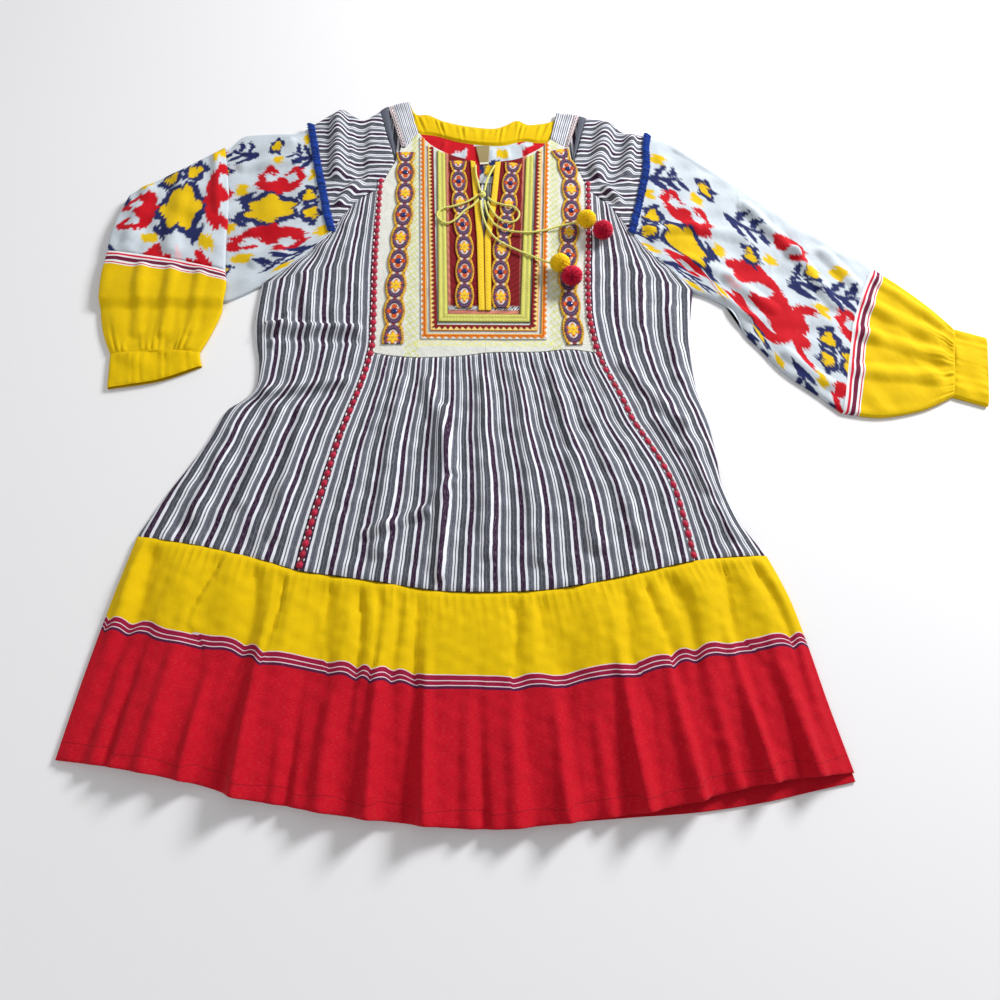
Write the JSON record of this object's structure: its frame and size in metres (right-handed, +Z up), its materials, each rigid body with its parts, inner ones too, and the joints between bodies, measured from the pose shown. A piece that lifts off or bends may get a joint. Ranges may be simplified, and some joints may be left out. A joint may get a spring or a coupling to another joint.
{
  "type": "midi dress",
  "caption": "Tiered peasant dress with long gathered sleeves, embroidered bib and tied slit neck, laid flat on its back with one sleeve folded down.",
  "frame": {"origin": "on the surface the dress lies on, under the middle of its bounding box", "axes": "+X to the right across the dress as seen from above, +Y from hem to neck, +Z up from the surface"},
  "size_m": [0.9308, 0.7798, 0.0248],
  "materials": {
    "striped_cotton": "plain weave in grey, white and dark purple stripes, matt",
    "border_cotton": "plain weave, yellow above a narrow woven border and red below, slight sheen",
    "yellow_cotton": "plain weave, deep yellow, slight sheen",
    "ikat_cotton": "white with blurred navy, red and yellow motifs, matt",
    "embroidered_cotton": "cream with rows of pale green and yellow stitching",
    "label_satin": "bare olive satin",
    "dark_binding": "dark grey plain weave",
    "speckled_braid": "narrow black and white braid with red specks",
    "bead_lace": "red crochet ovals between white edges",
    "blue_tufted_trim": "royal blue tufted trim",
    "oval_ribbon": "embroidered chain of purple-brown ovals on cream",
    "neon_braid": "neon yellow chevron braid",
    "maroon_ricrac": "maroon zigzag with pale points",
    "orange_ricrac": "orange zigzag",
    "neon_cord": "twisted neon yellow cord",
    "yellow_pompom": "fluffy yarn, golden yellow",
    "crimson_pompom": "fluffy yarn, crimson"
  },
  "bodies": {
    "root": {"back_body": "striped_cotton", "shoulder_left": "striped_cotton", "shoulder_right": "striped_cotton", "side_front_left": "striped_cotton", "side_front_right": "striped_cotton", "centre_skirt": "striped_cotton", "yoke_strip_left": "striped_cotton", "yoke_strip_right": "striped_cotton", "front_tier": "border_cotton", "back_tier": "border_cotton", "sleeve_left_border": "border_cotton", "sleeve_right_border": "border_cotton", "neck_facing": "yellow_cotton", "cuff_left": "yellow_cotton", "cuff_right": "yellow_cotton", "placket_left": "yellow_cotton", "placket_right": "yellow_cotton", "back_yoke": "ikat_cotton", "sleeve_left_upper": "ikat_cotton", "sleeve_left_lower": "ikat_cotton", "sleeve_right": "ikat_cotton", "bib": "embroidered_cotton", "label": "label_satin", "shoulder_binding_left": "dark_binding", "shoulder_binding_right": "dark_binding", "shoulder_braid_left": "speckled_braid", "shoulder_braid_right": "speckled_braid", "bead_trim_left": "bead_lace", "bead_trim_right": "bead_lace", "sleeve_trim_left": "blue_tufted_trim", "sleeve_trim_right": "blue_tufted_trim", "outer_ribbon_left": "oval_ribbon", "outer_ribbon_right": "oval_ribbon", "inner_ribbon_left": "oval_ribbon", "inner_ribbon_right": "oval_ribbon", "neon_frame": "neon_braid", "maroon_frame": "maroon_ricrac", "orange_frame": "orange_ricrac", "tie_strand_left": "neon_cord", "tie_strand_right": "neon_cord", "tie_loop_left": "neon_cord", "tie_loop_right": "neon_cord", "tie_tail_upper": "neon_cord", "tie_tail_lower": "neon_cord", "tie_knot": "neon_cord", "pompom_yellow_upper": "yellow_pompom", "pompom_yellow_lower": "yellow_pompom", "pompom_crimson_upper": "crimson_pompom", "pompom_crimson_lower": "crimson_pompom"}
  },
  "joints": []
}
